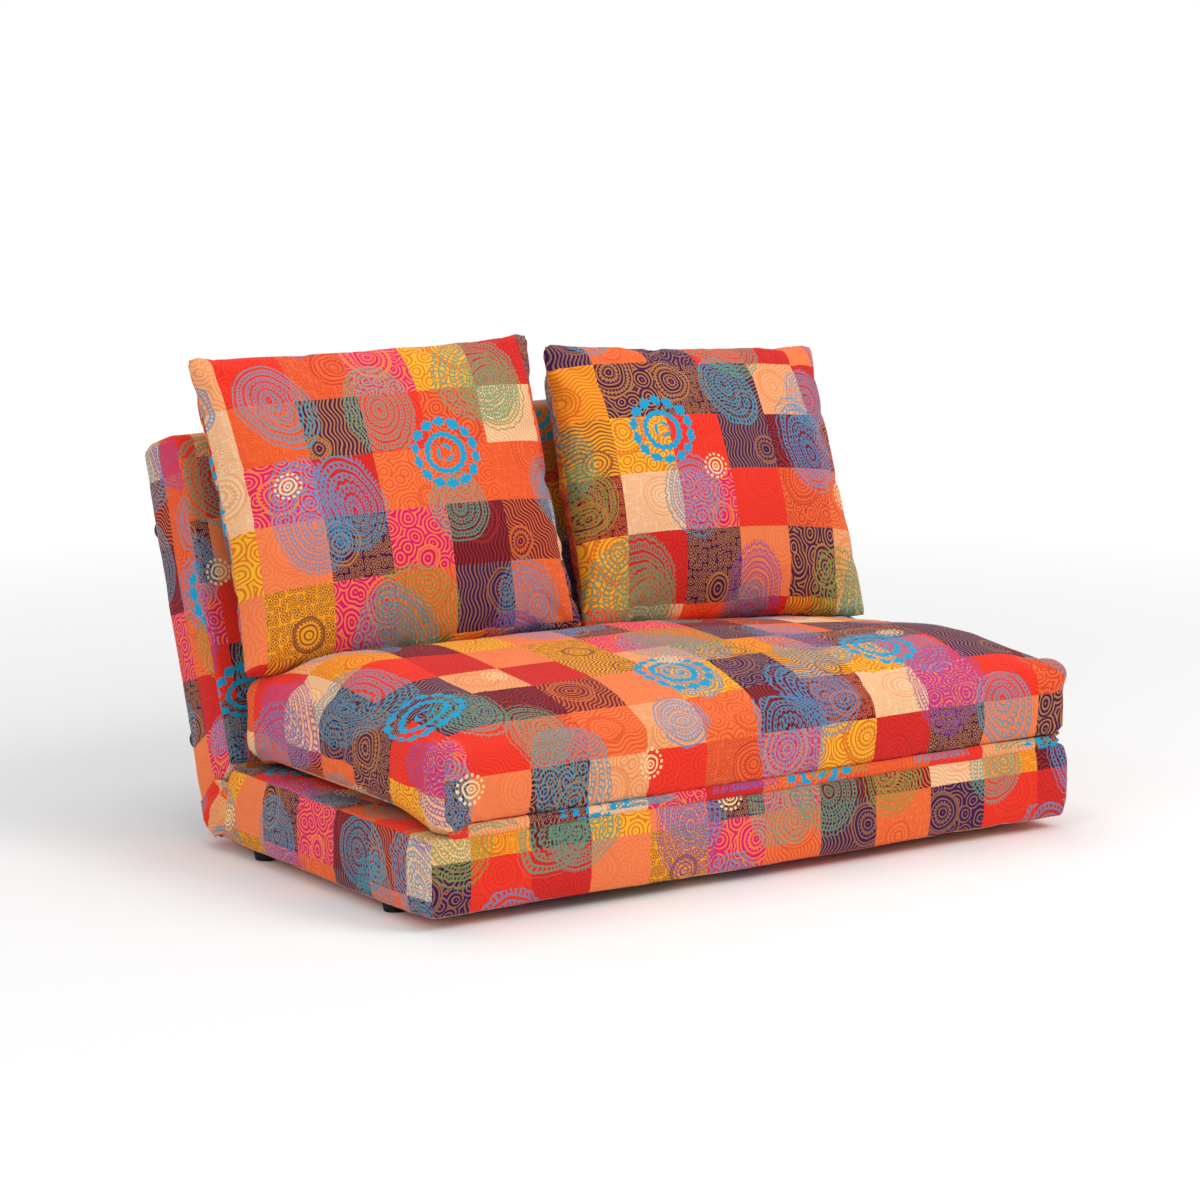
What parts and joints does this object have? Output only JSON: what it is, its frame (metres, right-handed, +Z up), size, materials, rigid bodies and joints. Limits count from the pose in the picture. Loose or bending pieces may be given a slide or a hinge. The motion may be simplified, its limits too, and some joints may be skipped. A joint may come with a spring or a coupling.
{
  "type": "sofa bed",
  "caption": "Low fold-out sofa bed in printed cloth: a base, a backrest that reclines flat on ratchet hinges, a seat flap that folds forward and loose pillows.",
  "frame": {"origin": "middle of the floor under the sofa bed's box, as a sofa", "axes": "+X to the right seen from the front, along the sofa's width; -Y is the front that a sitter faces; +Z up from the floor"},
  "size_m": [1.2123, 0.8716, 0.7734],
  "materials": {
    "printed_cloth": "matte",
    "welt_cloth": "matte",
    "dust_cloth": "matte",
    "foam": "matte",
    "fibre_filling": "matte",
    "webbing": "matte",
    "frame_steel": "satin",
    "zinc_steel": "satin",
    "spring_steel": "polished",
    "black_plastic": "matte",
    "zip_tape": "matte"
  },
  "bodies": {
    "base": {"base_frame": "frame_steel", "base_webbing": "webbing", "base_foam": "foam", "base_cover": "printed_cloth", "base_dust_cloth": "dust_cloth", "base_feet": "black_plastic", "base_foot_screws": "zinc_steel", "base_hinge_bolts": "zinc_steel", "left_hinge_plate": "zinc_steel", "right_hinge_plate": "zinc_steel", "left_hinge_rivet": "zinc_steel", "right_hinge_rivet": "zinc_steel", "seat_welt": "welt_cloth"},
    "backrest": {"back_frame": "frame_steel", "back_webbing": "webbing", "back_foam": "foam", "back_cover": "printed_cloth", "back_dust_cloth": "dust_cloth", "back_feet": "black_plastic", "back_foot_screws": "zinc_steel", "back_hinge_bolts": "zinc_steel", "left_hinge_arm": "zinc_steel", "right_hinge_arm": "zinc_steel", "left_pawl_pin": "zinc_steel", "right_pawl_pin": "zinc_steel", "left_pawl_spring": "spring_steel", "right_pawl_spring": "spring_steel", "fold_gusset": "printed_cloth"},
    "seat_flap": {"seat_foam": "foam", "seat_cover": "printed_cloth", "seat_zip": "zip_tape"},
    "left_pillow": {"left_pillow_filling": "fibre_filling", "left_pillow_cover": "printed_cloth", "left_pillow_zip": "zip_tape"},
    "right_pillow": {"right_pillow_filling": "fibre_filling", "right_pillow_cover": "printed_cloth", "right_pillow_zip": "zip_tape"},
    "left_pawl": {"left_pawl": "zinc_steel"},
    "right_pawl": {"right_pawl": "zinc_steel"}
  },
  "joints": [
    {"name": "back_recline", "type": "hinge", "parent": "base", "child": "backrest", "pos_m": [0, 0.22841, 0.045], "axis": [-1, 0, 0], "range_deg": [0, 72], "deforming": ["fold_gusset"]},
    {"name": "seat_fold", "type": "hinge", "parent": "base", "child": "seat_flap", "pos_m": [0, -0.43759, 0.1384], "axis": [1, 0, 0], "range_deg": [0, 180]},
    {"name": "left_pillow_turn", "type": "hinge", "parent": "seat_flap", "child": "left_pillow", "pos_m": [0.04501, 0.15825, 0.18063], "axis": [-0.9972, 0.0754, -0.0002], "range_deg": [0, 247.1]},
    {"name": "right_pillow_turn", "type": "hinge", "parent": "seat_flap", "child": "right_pillow", "pos_m": [0.01259, 0.19811, 0.20364], "axis": [-0.9986, 0.0031, 0.0522], "range_deg": [0, 246.9]},
    {"name": "left_pawl_lift", "type": "hinge", "parent": "backrest", "child": "left_pawl", "pos_m": [-0.584, 0.21861, 0.08604], "axis": [1, 0, 0], "range_deg": [0, 12], "stiffness_Nm_per_rad": 0.05, "deforming": ["left_pawl_spring"]},
    {"name": "right_pawl_lift", "type": "hinge", "parent": "backrest", "child": "right_pawl", "pos_m": [0.584, 0.21861, 0.08604], "axis": [1, 0, 0], "range_deg": [0, 12], "stiffness_Nm_per_rad": 0.05, "deforming": ["right_pawl_spring"]}
  ],
  "couplings": [
    {"joint": "left_pillow_turn", "follows": "seat_fold", "ratio": 1.3725},
    {"joint": "right_pillow_turn", "follows": "seat_fold", "ratio": 1.3712}
  ]
}
